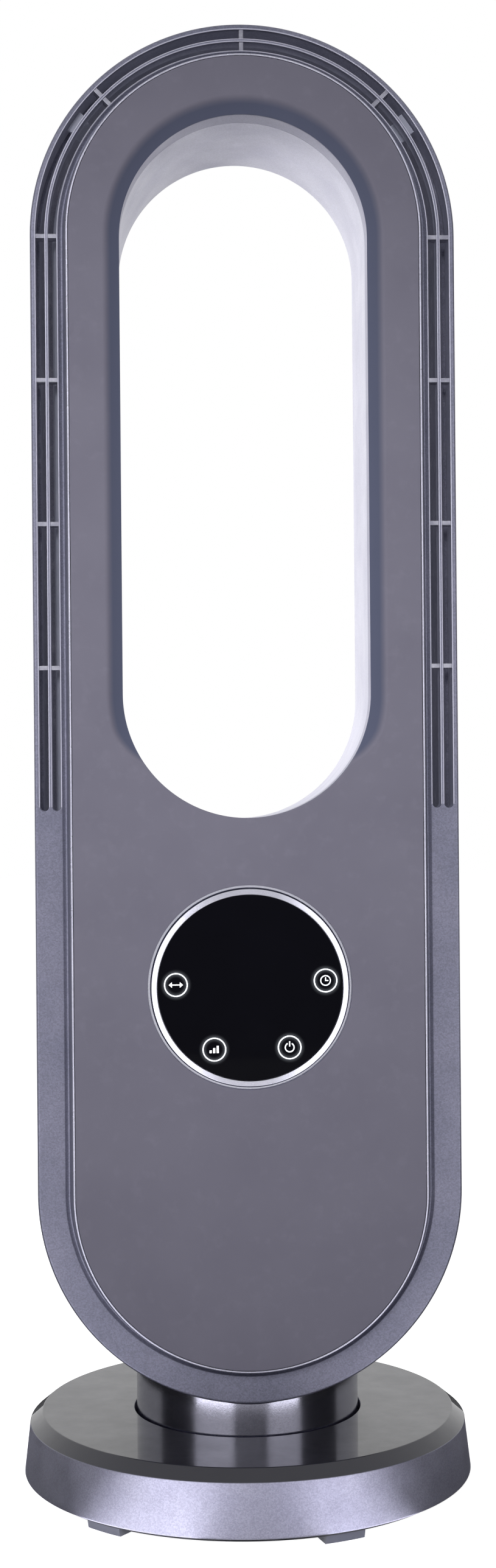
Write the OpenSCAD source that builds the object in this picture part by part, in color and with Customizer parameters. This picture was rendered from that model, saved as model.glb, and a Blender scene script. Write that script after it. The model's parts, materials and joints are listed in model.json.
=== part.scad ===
// Tower fan: an oblong air loop with twin slots, swinging on a round base.
// Front faces -Y, +Z is up, origin on the floor under the swing axis.

/* [Body] */
// Half of the body width
half_w = 115.5; // [114:0.5:118]
// Height of the centre of the top arc
top_z = 694.5; // [680:0.5:730]
// Height of the centre of the bottom arc
low_z = 175;
// Distance from the axis forward to the frame land
land_v = 65;
// Distance from the axis forward to the panel face
panel_v = 76;
// Half width of the front panel
panel_r = 94.1;

/* [Loop] */
// Half width of the loop at its front lip
loop_r = 67.2; // [64:0.1:67.2]
// Half width of the sloped band around the loop
ridge_r = 75.2;
// Height of the centre of the loop's top arc
loop_top_z = 692; // [680:0.5:692]
// Height of the centre of the loop's bottom arc
loop_low_z = 445.6;
// Front lip of the loop, forward of the axis
lip_v = 70;
// Rear face of the loop, behind the axis
back_v = -34;
// Widening of the loop towards the rear, each side
loop_flare = 1.6;

/* [Air slots] */
// Inner and outer radius of the outer slot
slot_a = [107.7, 112.4];
// Inner and outer radius of the inner slot
slot_b = [101.2, 105.7];
// Height where the slots end
slot_end_z = 385.3; // [370:0.5:400]
// Width of the cross ribs
rib_w = 2.4; // [1.5:0.1:3]
// Spacing of the cross ribs on the straight sides
rib_pitch = 78; // [60:1:90]

/* [Controls] */
// Height of the control disc
control_z = 287;
// Radius of the touch glass
glass_r = 50.1;
// Outer radius of the bright ring
bezel_r = 54.05;

/* [Neck] */
// Radius of the neck
neck_r = 63.2;
// Wall of the neck
neck_wall = 2.5; // [2:0.1:2.5]

/* [Base] */
// Radius of the rim
rim_r = 127.2; // [127.2:0.1:132]
// Height of the rim's lower edge
rim_z = 7.5;
// Radius and height of the bevel's outer edge
bevel_r = 123.9;
bevel_z = 35.8;
// Radius and height of the flat top
flat_r = 116.8;
flat_z = 41.6;
// Radius of the hole for the neck
neck_hole_r = 64.6;
// Height of the feet
foot_h = 5; // [4:0.5:5]

/* [Blower] */
// Height of the impeller axis
fan_z = 185;
// Radius of the impeller
fan_r = 68; // [60:1:72]
// Number of impeller blades
blade_n = 22; // [12:1:26]
// Radius of the rear grille
grille_r = 78;

/* [Swing drive] */
// Tooth module
gear_m = 1.25;
// Teeth of the turntable gear
gear_n = 48;
// Teeth of the motor pinion
pinion_n = 12;
// Swing each way
swing_deg = 40;

/* [Hidden] */
$fn = 96;
wall = 2.4;
eps = 0.02;
belly_r = 108;
belly_top_z = 254;
belly_v = -66;
belly_round = 26;
shell_round = 20;
seam_v = 40;
screw_r = 90.5;
screw_z = [660, 500, 345];
low_screw_deg = 54;
floor_v = 71;
gear_dist = gear_m * (gear_n + pinion_n) / 2;
swing_motor_y = -gear_dist - 8;
gear_z0 = 29.5;
gear_z1 = 36.5;
disc_z1 = 39.5;
hub_top_z = 45.9;
touch_pts = [[-40, 2], [40.7, 3.4], [-19.6, -33], [21, -32.4]];
touch_r = 6.55;
damper_r = 39;
neck_screw_r = 56.5;

// Carries a section (x outward, y forward) round the top arc and down both sides.
module arch_sweep(z0, z1) {
    translate([0, 0, z1]) rotate([90, 0, 0]) rotate_extrude(angle = 180) children();
    for (side = [0, 1])
        mirror([side, 0, 0]) translate([0, 0, z0]) mirror([0, 1, 0])
            linear_extrude(z1 - z0) children();
}

// Carries a section round a closed oblong.
module ring_sweep(z0, z1) {
    arch_sweep(z0, z1) children();
    translate([0, 0, z0]) rotate([0, 180, 0]) rotate([90, 0, 0])
        rotate_extrude(angle = 180) children();
}

module oblong_shape(r, z0, z1) {
    translate([0, z0]) circle(r);
    translate([0, z1]) circle(r);
    translate([-r, z0]) square([2 * r, z1 - z0]);
}

// Solid oblong between two distances forward of the axis.
module oblong(r, z0, z1, v0, v1) {
    translate([0, -v0, 0]) rotate([90, 0, 0]) linear_extrude(v1 - v0) oblong_shape(r, z0, z1);
}

// Round bar along the depth.
module bar(r, v0, v1, x = 0, z = 0) {
    translate([x, -v0, z]) rotate([90, 0, 0]) cylinder(r = r, h = v1 - v0);
}

module tube(r1, r0, h) {
    difference() {
        cylinder(r = r1, h = h);
        translate([0, 0, -1]) cylinder(r = r0, h = h + 2);
    }
}

// One air slot: arc, two sides and round lower ends.
module slot_cut(span, v0, v1) {
    mid = (span[0] + span[1]) / 2;
    half = (span[1] - span[0]) / 2;
    arch_sweep(slot_end_z, top_z) translate([span[0], v0]) square([2 * half, v1 - v0]);
    for (side = [-1, 1]) bar(half, v0, v1, side * mid, slot_end_z);
}

module case_screw_points() {
    translate([0, 0, top_z + screw_r]) children();
    for (side = [-1, 1]) {
        for (z = screw_z) translate([side * screw_r, 0, z]) children();
    }
}

module low_screw_points() {
    for (side = [-1, 1])
        translate([side * screw_r * cos(low_screw_deg), 0, low_z - screw_r * sin(low_screw_deg)])
            children();
}

module frame_section() {
    polygon([[half_w, seam_v + 0.2], [half_w, land_v - 1.4], [half_w - 0.4, land_v - 0.4],
        [half_w - 1.4, land_v], [half_w - 15.9, land_v], [half_w - 17.3, land_v + 0.4],
        [half_w - 18.2, land_v + 1.6], [panel_r + 0.9, panel_v - 0.7], [panel_r + 0.5, panel_v],
        [panel_r + 0.2, panel_v - 0.3], [panel_r + 0.2, floor_v + 2.2], [panel_r - 3, floor_v + 2.2],
        [panel_r - 3, floor_v], [panel_r - 0.4, floor_v], [panel_r + 1.4, land_v - 0.3],
        [half_w - 17.6, land_v - 2], [half_w - wall, land_v - wall],
        [half_w - wall, seam_v + 0.2]]);
}

module front_frame() {
    color("#8f92a3") {
        difference() {
            union() {
                ring_sweep(low_z, top_z) frame_section();
                oblong(panel_r - 1, low_z, top_z, floor_v, floor_v + 2.2);
            }
            slot_cut(slot_a, land_v - 5, land_v + 2);
            slot_cut(slot_b, land_v - 5, land_v + 2);
            oblong(80.5, loop_low_z, loop_top_z, floor_v - 1, floor_v + 4);
            bar(58.6, floor_v - 1, floor_v + 4, 0, control_z);
        }
        // fins that give the slots their depth
        arch_sweep(slot_end_z - 3, top_z) translate([slot_b[1], land_v - 9])
            square([slot_a[0] - slot_b[1], 7.5]);
        arch_sweep(slot_end_z - 3, top_z) translate([slot_b[0] - 1.6, land_v - 9])
            square([1.6, 7.5]);
        for (a = [0 : 45 : 180])
            translate([0, 0, top_z]) rotate([0, -a, 0])
                translate([slot_b[0] - 0.8, 0.8 - land_v, -rib_w / 2])
                    cube([slot_a[1] - slot_b[0] + 1.4, 8, rib_w]);
        for (side = [0, 1], i = [1 : 3])
            mirror([side, 0, 0])
                translate([slot_b[0] - 0.8, 0.8 - land_v, top_z - i * rib_pitch - rib_w / 2])
                    cube([slot_a[1] - slot_b[0] + 1.4, 8, rib_w]);
        difference() {
            union() {
                case_screw_points() bar(4, -4.6, floor_v + 1);
                low_screw_points() bar(4, -44.6, floor_v + 1);
            }
            case_screw_points() bar(1.6, -6, 30);
            low_screw_points() bar(1.6, -46, -10);
        }
        for (x = [-34, 34], z = [102, 156]) bar(3.2, 60.1, floor_v + 1, x, z);
    }
}

// Cutting section of the sloped band: the ridge is its outer edge.
module slope_section(r) {
    run = ridge_r - loop_r;
    rise = panel_v - lip_v;
    polygon([[r, panel_v], [r - 2 * run, panel_v - 2 * rise], [r - 2 * run, panel_v + 2],
        [r, panel_v + 2]]);
}

module front_panel() {
    corner_r = 35;
    corner_x = ridge_r - corner_r;
    corner_z = 438.7;
    color("#55545f") difference() {
        union() {
            oblong(panel_r, low_z, top_z, panel_v - 2.5, panel_v);
            ring_sweep(loop_low_z, loop_top_z)
                polygon([[loop_r, lip_v - 0.5], [loop_r, panel_v - 1], [80, panel_v - 1],
                    [80, panel_v - 3], [78, panel_v - 3.6], [72, lip_v - 3], [69.8, lip_v - 3]]);
        }
        oblong(loop_r, loop_low_z, loop_top_z, lip_v - 10, panel_v + 2);
        arch_sweep(corner_z, loop_top_z) slope_section(ridge_r);
        for (side = [0, 1])
            mirror([side, 0, 0]) translate([corner_x, 0, corner_z]) rotate([0, 90, 0])
                rotate([90, 0, 0]) rotate_extrude(angle = 90) slope_section(corner_r);
        bar(bezel_r + 1.1, panel_v - 5, panel_v + 2, 0, control_z);
    }
}

module loop_trim() {
    color("#9c9bad") ring_sweep(loop_low_z, loop_top_z)
        polygon([[loop_r + 0.05, lip_v - 0.9], [loop_r + 2, lip_v - 2.9], [loop_r + 2.2, lip_v - 3.2],
            [loop_r + 2.2, 53.6], [loop_r + 0.3, 53.6]]);
}

module loop_liner() {
    color("#d9d8e0") ring_sweep(loop_low_z, loop_top_z)
        polygon([[loop_r + 0.3, 53.3], [loop_r + 2.4, 53.3], [loop_r + 2.4 + loop_flare, back_v + 4],
            [loop_r + 2.4 + loop_flare, back_v + 0.5], [loop_r + 1.9 + loop_flare, back_v],
            [loop_r + 0.6 + loop_flare, back_v], [loop_r + loop_flare, back_v + 0.8]]);
}

module shell_corner(r, v, radius) {
    translate([r - radius, v + radius]) intersection() {
        difference() {
            circle(radius);
            circle(radius - wall);
        }
        translate([0, -radius - 1]) square([radius + 1, radius + 1]);
    }
}

module shell_section() {
    shell_corner(half_w, back_v, shell_round);
    translate([half_w - wall, back_v + shell_round])
        square([wall, seam_v - 0.2 - back_v - shell_round]);
    translate([half_w - 4.3, seam_v - 5]) square([2.4, 4.8]);
    translate([half_w - 4.3, seam_v - 3]) square([1.7, 8]);
}

module belly_section() {
    shell_corner(belly_r, belly_v, belly_round);
    translate([belly_r - wall, belly_v + belly_round]) square([wall, 12]);
}

module rear_shell() {
    hole_r = loop_r + loop_flare + 2.6;
    cover_hole_r = belly_r + 0.2;
    color("#8f92a3") {
        difference() {
            union() {
                ring_sweep(low_z, top_z) shell_section();
                oblong(half_w - shell_round, low_z, top_z, back_v, back_v + wall);
                intersection() {
                    translate([0, 0, 50]) cylinder(r = neck_r + 2.6, h = 60);
                    difference() {
                        bar(half_w, -neck_r - 2.6, -8, 0, low_z);
                        bar(cover_hole_r, -neck_r - 4, -6, 0, low_z);
                    }
                }
                for (x = [-22, 22], y = [-22, 22]) translate([x, y, 62.5]) cylinder(r = 6, h = 7);
                case_screw_points() bar(5.4, back_v + 1, -4.8);
            }
            oblong(hole_r, loop_low_z, loop_top_z, back_v - 1, back_v + wall + 1);
            oblong(cover_hole_r, low_z, belly_top_z, -40, -18);
            case_screw_points() bar(4, back_v - 1, back_v + 3.4);
            case_screw_points() bar(1.9, back_v, 0);
            cylinder(r = 8, h = 90);
            for (x = [-22, 22], y = [-22, 22]) translate([x, y, 50]) cylinder(r = 1.9, h = 30);
            for (x = [-22, 22], y = [-22, 22]) translate([x, y, 69.5]) cylinder(r = 3.7, h = 6);
        }
    }
}

module rear_cover() {
    color("#8a8d9e") {
        difference() {
            union() {
                ring_sweep(low_z, belly_top_z) belly_section();
                oblong(belly_r - belly_round, low_z, belly_top_z, belly_v, belly_v + wall);
                low_screw_points() bar(5.4, -62, -44.8);
            }
            bar(grille_r + 0.3, belly_v - 1, belly_v + wall + 1, 0, fan_z);
            low_screw_points() bar(4, belly_v - 1, belly_v + 6);
            low_screw_points() bar(1.9, belly_v, -40);
        }
        // tongue that hooks behind the rear shell at the top
        translate([-14, 29.2, belly_top_z + belly_r - 2]) cube([28, 2, 8]);
    }
}

module air_guide() {
    color("#5d5e66") {
        arch_sweep(slot_end_z - 8, top_z)
            polygon([[98.4, land_v - 9.2], [99.6, land_v - 9.2], [103.4, land_v - 15],
                [105.2, land_v - 42], [104, land_v - 42], [102.1, land_v - 15.4]]);
        for (side = [0, 1], a = [35])
            mirror([side, 0, 0]) translate([0, 0, top_z]) rotate([90, 0, 0]) rotate([0, 0, a - 3]) {
                rotate_extrude(angle = 6) translate([108.3, land_v - 9.5]) square([3.4, 3]);
                rotate_extrude(angle = 6) translate([103.1, land_v - 16.5]) square([6.7, 1.8]);
                rotate_extrude(angle = 6) translate([108.3, land_v - 16.5]) square([1.5, 8]);
            }
    }
}

module inlet_grille() {
    v0 = belly_v - 0.5;
    color("#3c3d45") difference() {
        union() {
            for (r = [8 : 6 : grille_r - 8]) {
                difference() {
                    bar(r + 1.9, v0, v0 + 3, 0, fan_z);
                    bar(r, v0 - 1, v0 + 4, 0, fan_z);
                }
            }
            bar(8, v0, v0 + 3, 0, fan_z);
            difference() {
                bar(grille_r, v0, v0 + 4, 0, fan_z);
                bar(grille_r - 4.5, v0 - 1, v0 + 6, 0, fan_z);
            }
            difference() {
                bar(grille_r + 3, belly_v + wall + 0.1, belly_v + wall + 1.9, 0, fan_z);
                bar(grille_r - 4.5, v0 - 1, v0 + 9, 0, fan_z);
            }
            difference() {
                bar(grille_r, v0 + 3, belly_v + wall + 1, 0, fan_z);
                bar(grille_r - 4.5, v0 - 1, v0 + 9, 0, fan_z);
            }
            for (a = [0 : 30 : 330])
                translate([0, 0, fan_z]) rotate([0, a, 0])
                    translate([6, -v0 - 3.6, -0.9]) cube([grille_r - 9, 3, 1.8]);
        }
    }
}

// Spiral wall with a straight outlet of the given height above the impeller axis.
module scroll_shape(r, half, outlet) {
    circle(r);
    translate([-half, 0]) square([2 * half, outlet]);
}

module scroll_wall(v0, v1, outlet) {
    translate([0, -v0, fan_z]) rotate([90, 0, 0]) linear_extrude(v1 - v0) difference() {
        scroll_shape(92.8, 62, outlet);
        scroll_shape(90.8, 60, outlet + 1);
    }
}

module scroll_housing() {
    low_outlet = 316 - fan_z;
    high_outlet = 350 - fan_z;
    color("#4a4b55") {
        scroll_wall(-56, -13, low_outlet);
        scroll_wall(-27.6, -13, high_outlet);
        difference() {
            union() {
                translate([0, 14, fan_z]) rotate([90, 0, 0]) linear_extrude(2)
                    scroll_shape(92.8, 62, high_outlet);
                for (a = [45 : 90 : 315])
                    bar(5, -19, -13, damper_r * cos(a), fan_z + damper_r * sin(a));
            }
            bar(26, -20, -10, 0, fan_z);
            for (a = [45 : 90 : 315])
                bar(1.6, -20, -10, damper_r * cos(a), fan_z + damper_r * sin(a));
        }
        for (s = [-1, 1]) {
            bar(3, -13, floor_v - 0.3, s * 58, 322);
            bar(3, -13, floor_v - 0.3, s * 84, 165);
        }
    }
}

module control_bezel() {
    color("#d8dadf") translate([0, 0, control_z]) rotate([90, 0, 0]) rotate_extrude()
        polygon([[bezel_r, floor_v + 2], [bezel_r, panel_v - 0.1], [bezel_r - 0.5, panel_v + 0.7],
            [bezel_r - 1.3, panel_v + 1], [glass_r + 0.8, panel_v + 1],
            [glass_r + 0.25, panel_v + 0.5], [glass_r + 0.25, panel_v - 4.2],
            [glass_r - 2, panel_v - 4.2], [glass_r - 2, panel_v - 6], [58, panel_v - 6],
            [58, panel_v - 2.8], [bezel_r, panel_v - 2.8]]);
}

module control_glass() {
    color("#101114") translate([0, 0, control_z]) rotate([90, 0, 0]) rotate_extrude()
        polygon([[0, panel_v - 4.1], [glass_r, panel_v - 4.1], [glass_r, panel_v - 0.1],
            [glass_r - 0.4, panel_v + 0.2], [0, panel_v + 0.2]]);
}

// Generic pictograms, drawn about the middle of each ring.
module icon_swing() {
    square([5.2, 0.6], center = true);
    for (s = [0, 1]) mirror([s, 0]) polygon([[3.9, 0], [2.2, 1.5], [2.2, -1.5]]);
}

module icon_speed() {
    for (i = [0 : 2]) translate([-2.6 + 1.9 * i, -1.9]) square([1.2, 1.5 + 1.2 * i]);
}

module icon_power() {
    difference() {
        circle(2.7);
        circle(2.05);
        translate([-0.95, 0.4]) square([1.9, 4]);
    }
    translate([-0.33, 0.3]) square([0.66, 3]);
}

module icon_timer() {
    difference() {
        circle(2.9);
        circle(2.3);
    }
    translate([-0.3, -0.3]) square([0.6, 1.9]);
    translate([-0.3, -0.3]) square([1.6, 0.6]);
}

module touch_icon(i) {
    translate([touch_pts[i][0], 0.15 - panel_v - 0.36, control_z + touch_pts[i][1]])
        rotate([90, 0, 0]) linear_extrude(0.15) {
            difference() {
                circle(touch_r);
                circle(touch_r - 0.9);
            }
            children();
        }
}

module touch_icons() {
    color("#f2f4f6") {
        touch_icon(0) icon_swing();
        touch_icon(1) icon_timer();
        touch_icon(2) icon_speed();
        touch_icon(3) icon_power();
    }
}

module control_carrier() {
    color("#2f3036") difference() {
        union() {
            bar(57.8, 58, 60, 0, control_z);
            difference() {
                bar(57.8, 58, panel_v - 6.2, 0, control_z);
                bar(55.8, 57, panel_v, 0, control_z);
            }
            for (a = [0 : 90 : 270]) bar(3, 59, 66, 36 * cos(a), control_z + 36 * sin(a));
        }
        bar(9, 57, 61, 0, control_z);
    }
}

module control_board() {
    color("#1d4d33") {
        difference() {
            bar(47, 66.1, 67.7, 0, control_z);
            for (a = [0 : 90 : 270]) bar(1.4, 65, 69, 36 * cos(a), control_z + 36 * sin(a));
        }
        translate([-9, -66.1, control_z - 3]) cube([18, 5, 6]);
        translate([-6, -70, control_z + 12]) cube([12, 2.3, 12]);
    }
}

module touch_springs() {
    color("#c9a54a") for (p = touch_pts, k = [0 : 3])
        translate([p[0], -68.25 - k, control_z + p[1]]) rotate([90, 0, 0])
            rotate_extrude($fn = 48) translate([3.2, 0]) circle(0.45, $fn = 20);
}

module icon_lamps() {
    color("#f5f1dc") for (p = touch_pts)
        translate([p[0] - 1, -69.3, control_z + p[1] - 1]) cube([2, 1.6, 2]);
}

module power_board() {
    color("#1f5a3a") difference() {
        translate([-40, -60, 94]) cube([80, 1.6, 70]);
        for (x = [-34, 34], z = [102, 156]) bar(1.5, 57, 61, x, z);
    }
}

module power_parts() {
    color("#26303c") {
        bar(8, 34, 58.3, -22, 118);
        bar(5, 42, 58.3, -6, 108);
        translate([6, -58.3, 104]) cube([22, 17, 18]);
        translate([-30, -58.3, 138]) cube([16, 9, 12]);
        translate([0, -58.3, 140]) cube([10, 3, 14]);
        translate([18, -58.3, 140]) cube([14, 8, 7]);
    }
}

module motor_can() {
    color("#b9bcc2") difference() {
        union() {
            translate([0, 9, fan_z]) rotate([90, 0, 0]) rotate_extrude()
                polygon([[0, 0], [31, 0], [32, 1], [32, 27], [30, 29], [10, 29], [9, 31], [0, 31]]);
            bar(10, -12, -8, 0, fan_z);
            difference() {
                bar(46, -9, -6.4, 0, fan_z);
                for (a = [0 : 90 : 270]) bar(9, -10, -5, 46 * cos(a), fan_z + 46 * sin(a));
            }
        }
        bar(3.05, -13, 23, 0, fan_z);
        difference() {
            bar(29, -5, 15, 0, fan_z);
            bar(12, -6, 16, 0, fan_z);
        }
        for (a = [45 : 90 : 315])
            bar(1.9, -10, -5, damper_r * cos(a), fan_z + damper_r * sin(a));
    }
}

module motor_dampers() {
    color("#1b1b1d") for (a = [45 : 90 : 315]) difference() {
        bar(5.4, -11.9, -9.1, damper_r * cos(a), fan_z + damper_r * sin(a));
        bar(1.9, -13, -8, damper_r * cos(a), fan_z + damper_r * sin(a));
    }
}

module motor_screws() {
    color("#c8c9cc") for (a = [45 : 90 : 315])
        translate([damper_r * cos(a), 0, fan_z + damper_r * sin(a)]) {
            bar(1.5, -17, -6.3);
            bar(3.4, -6.3, -4.1);
        }
}

// Pan head screw driven from the rear; v is its head seat.
module rear_screw(v) {
    difference() {
        union() {
            bar(1.5, v - 0.5, v + 26);
            bar(3.4, v - 2.3, v - 0.1);
        }
        for (a = [0, 90])
            rotate([0, a, 0]) translate([-2, -v + 1.3, -0.3]) cube([4, 2, 0.6]);
    }
}

module case_screws() {
    color("#3a3b40") {
        case_screw_points() rear_screw(back_v + 3.3);
        low_screw_points() rear_screw(belly_v + 5.9);
    }
}

module neck_collar() {
    inner_r = neck_r - neck_wall;
    color("#9a9cab") difference() {
        union() {
            translate([0, 0, 30]) tube(neck_r, inner_r, 70);
            for (a = [0 : 60 : 300])
                rotate([0, 0, a]) translate([neck_screw_r, 0, disc_z1 + 0.1])
                    cylinder(r = 4.4, h = 16);
        }
        bar(half_w + 0.3, -90, 90, 0, low_z);
        for (a = [0 : 60 : 300])
            rotate([0, 0, a]) translate([neck_screw_r, 0, disc_z1 - 1]) cylinder(r = 1.6, h = 13);
        difference() {
            translate([0, 0, 25]) cylinder(r = neck_r + 10, h = 90);
            translate([0, 0, 24]) cylinder(r = neck_r, h = 92);
        }
    }
}

module neck_screws() {
    color("#c8c9cc") for (a = [0 : 60 : 300])
        rotate([0, 0, a]) translate([neck_screw_r, 0, 0]) {
            translate([0, 0, gear_z1 - 2.2]) cylinder(r = 3, h = 2.1);
            translate([0, 0, gear_z1 - 0.5]) cylinder(r = 1.5, h = 13);
        }
}

module mast_screws() {
    color("#c8c9cc") for (x = [-22, 22], y = [-22, 22]) translate([x, y, 0]) {
        translate([0, 0, 69.6]) cylinder(r = 3.2, h = 2.2);
        translate([0, 0, 46]) cylinder(r = 1.5, h = 24);
    }
}

// Involute flank point at radius r for base radius b, turned by a degrees.
function flank(b, r, a) =
    let (t = sqrt(max(0, r * r / (b * b) - 1)))
    let (ang = t * 180 / PI - atan(t) + a)
    [r * cos(ang), r * sin(ang)];

module gear_shape(n, slack) {
    press = 25;
    pitch_r = gear_m * n / 2;
    b = pitch_r * cos(press);
    tip_r = pitch_r + gear_m;
    root_r = pitch_r - 1.25 * gear_m;
    start_r = max(b, root_r);
    half_tooth = 90 / n - slack * 180 / PI / pitch_r;
    inv = tan(press) * 180 / PI - press;
    steps = 4;
    for (i = [0 : n - 1]) rotate(i * 360 / n)
        polygon(concat([[root_r - 1, -1.3]], [[root_r * cos(half_tooth + inv),
            -root_r * sin(half_tooth + inv)]],
            [for (k = [0 : steps]) let (r = start_r + (tip_r - start_r) * k / steps)
                flank(b, r, -half_tooth - inv)],
            [for (k = [steps : -1 : 0]) let (r = start_r + (tip_r - start_r) * k / steps)
                let (p = flank(b, r, -half_tooth - inv)) [p[0], -p[1]]],
            [[root_r * cos(half_tooth + inv), root_r * sin(half_tooth + inv)]],
            [[root_r - 1, 1.3]]));
    circle(root_r - 0.02);
}

module turntable() {
    color("#e3e1da") difference() {
        union() {
            translate([0, 0, gear_z0]) linear_extrude(gear_z1 - gear_z0) gear_shape(gear_n, 0.06);
            translate([0, 0, 27.9]) cylinder(r = 24, h = 3);
            translate([0, 0, gear_z1 - 0.1])
                cylinder(r = neck_r - neck_wall - 0.2, h = disc_z1 - gear_z1 + 0.1);
            translate([0, 0, disc_z1 - 1]) cylinder(r = 20, h = hub_top_z - disc_z1 + 1);
            translate([0, 0, disc_z1 - 1]) tube(34, 28, 40);
            for (a = [30 : 60 : 330])
                rotate([0, 0, a]) translate([33, -1.2, disc_z1 - 0.5]) cube([26, 2.4, 5]);
            translate([-3.8, 50, gear_z1 - 6.7]) cube([7.6, 8, 7]);
        }
        translate([0, 0, 20]) cylinder(r = 12.05, h = 40);
        bar(half_w + 0.3, -90, 90, 0, low_z);
        for (a = [0 : 60 : 300])
            rotate([0, 0, a]) translate([neck_screw_r, 0, gear_z1 - 1]) cylinder(r = 1.9, h = 9);
        for (x = [-22, 22], y = [-22, 22]) translate([x, y, 45]) cylinder(r = 1.6, h = 40);
    }
}

module swing_lead() {
    color("#2a2a2e") translate([0, 0, 9]) cylinder(r = 3, h = 78);
}

module impeller() {
    color("#6c6e78") difference() {
        union() {
            bar(fan_r, -25, -23, 0, fan_z);
            translate([0, 23, fan_z]) rotate([-90, 0, 0]) rotate_extrude()
                polygon([[0, 0], [30, 0], [13, 14], [12, 28], [0, 28]]);
            difference() {
                bar(fan_r, -56, -54, 0, fan_z);
                bar(fan_r - 18, -57, -53, 0, fan_z);
            }
            translate([0, 54.5, fan_z]) rotate([90, 0, 0]) linear_extrude(30)
                for (i = [0 : blade_n - 1]) rotate(i * 360 / blade_n) intersection() {
                    difference() {
                        circle(fan_r - 1);
                        circle(36);
                    }
                    translate([40, -24]) difference() {
                        circle(30);
                        circle(28.6);
                    }
                    translate([30, -2]) square([40, 20]);
                }
        }
        bar(3.02, -60, -20, 0, fan_z);
    }
}

module impeller_nut() {
    color("#b08d3c") difference() {
        translate([0, 55.4, fan_z]) rotate([90, 0, 0]) cylinder(r = 5.5, h = 4, $fn = 6);
        bar(3.02, -60, -40, 0, fan_z);
    }
}

module motor_shaft() {
    color("#c8cace") bar(3, -57, 23.5, 0, fan_z);
}

module base_cover() {
    color("#a6a7b2") {
        difference() {
            rotate_extrude($fn = 160)
                polygon([[neck_hole_r, flat_z - 7], [neck_hole_r, flat_z - 0.5],
                    [neck_hole_r + 0.5, flat_z], [flat_r - 0.4, flat_z], [flat_r + 0.3, flat_z - 0.3],
                    [bevel_r - 0.3, bevel_z + 0.3], [bevel_r + 0.1, bevel_z - 0.5],
                    [rim_r, rim_z + 0.5], [rim_r - 0.4, rim_z], [rim_r - 3, rim_z],
                    [bevel_r - 2.6, bevel_z - 1.6], [flat_r - 1, flat_z - 2.7],
                    [neck_hole_r + 2, flat_z - 2.7], [neck_hole_r + 2, flat_z - 7]]);
            translate([0, 110, 18]) rotate([-90, 0, 0]) cylinder(r = 6.6, h = 30);
        }
        for (a = [20 : 60 : 320]) rotate([0, 0, a]) translate([112, 0, 8.2]) difference() {
            cylinder(r = 4, h = flat_z - 10);
            translate([0, 0, -1]) cylinder(r = 1.6, h = 16);
        }
    }
}

module stop_point(side) {
    rotate([0, 0, side * (swing_deg + 7.8)]) translate([-2.8, 50, 0]) children();
}

module base_plate() {
    color("#2b2c31") difference() {
        union() {
            translate([0, 0, foot_h]) cylinder(r = 122, h = 3);
            cylinder_post();
            for (side = [-1, 1]) stop_point(side) translate([0, 0, 7]) cube([5.6, 8, 26.5]);
        }
        translate([0, 0, -1]) cylinder(r = 6, h = 60);
        for (a = [20 : 60 : 320])
            rotate([0, 0, a]) translate([112, 0, -1]) cylinder(r = 1.9, h = 20);
        for (a = [0 : 90 : 270])
            rotate([0, 0, a]) translate([87, 0, -1]) cylinder(r = 1.6, h = 20);
        for (a = [0 : 120 : 240])
            rotate([0, 0, a + 30]) translate([9, 0, 34]) cylinder(r = 1.25, h = 20);
        for (x = [-17.5, 17.5])
            translate([x, swing_motor_y, -1]) cylinder(r = 1.4, h = 20);
    }
}

module cylinder_post() {
    translate([0, 0, 7]) cylinder(r = 12, h = 39.3);
    translate([0, 0, 7]) cylinder(r = 25, h = 19);
}

module ballast_ring() {
    color("#3f4044") difference() {
        translate([0, 0, 8.1]) tube(104, 72, 11.9);
        for (a = [0 : 90 : 270])
            rotate([0, 0, a]) translate([87, 0, 5]) cylinder(r = 2, h = 20);
    }
}

module ballast_screws() {
    color("#c8c9cc") for (a = [0 : 90 : 270]) rotate([0, 0, a]) translate([87, 0, 0]) {
        translate([0, 0, 5.4]) cylinder(r = 1.5, h = 15);
        translate([0, 0, 20.1]) cylinder(r = 3.6, h = 2.4);
    }
}

module rubber_feet() {
    color("#8d8f9e") for (a = [47.5, 112.5, 170, 227.5, 292.5, 350])
        rotate([0, 0, a - 5.5]) rotate_extrude(angle = 11) translate([106, 0])
            square([14, foot_h - 0.05]);
}

module base_screws() {
    color("#8e9096") for (a = [20 : 60 : 320]) rotate([0, 0, a]) translate([112, 0, 0]) {
        translate([0, 0, foot_h - 2.1]) cylinder(r = 3.4, h = 2);
        translate([0, 0, foot_h - 0.5]) cylinder(r = 1.5, h = 13);
    }
}

module cord_gland() {
    color("#1c1c1f") difference() {
        translate([0, 0, 18]) rotate([-90, 0, 0]) {
            translate([0, 0, 115]) cylinder(r = 6.4, h = 12);
            translate([0, 0, 116]) cylinder(r = 9, h = 4);
        }
        translate([0, 110, 18]) rotate([-90, 0, 0]) cylinder(r = 3.6, h = 20);
    }
}

module terminal_block() {
    color("#e8e6df") difference() {
        translate([20, 80, 20.2]) cube([24, 13, 10]);
        for (i = [0 : 2]) translate([24 + 8 * i, 86.5, 24]) cylinder(r = 1.8, h = 8);
    }
}

module thrust_washer() {
    color("#ece9df") translate([0, 0, 26.05]) tube(24.5, 12.3, 1.55);
}

module retaining_washer() {
    color("#c2c4c9") difference() {
        translate([0, 0, 46.35]) tube(19, 6.4, 1.8);
        for (a = [0 : 120 : 240])
            rotate([0, 0, a + 30]) translate([9, 0, 40]) cylinder(r = 1.4, h = 20);
    }
}

module retaining_screws() {
    color("#8e9096") for (a = [0 : 120 : 240])
        rotate([0, 0, a + 30]) translate([9, 0, 0]) {
            translate([0, 0, 35]) cylinder(r = 1.15, h = 14);
            translate([0, 0, 48.2]) cylinder(r = 2.3, h = 1.8);
        }
}

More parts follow.
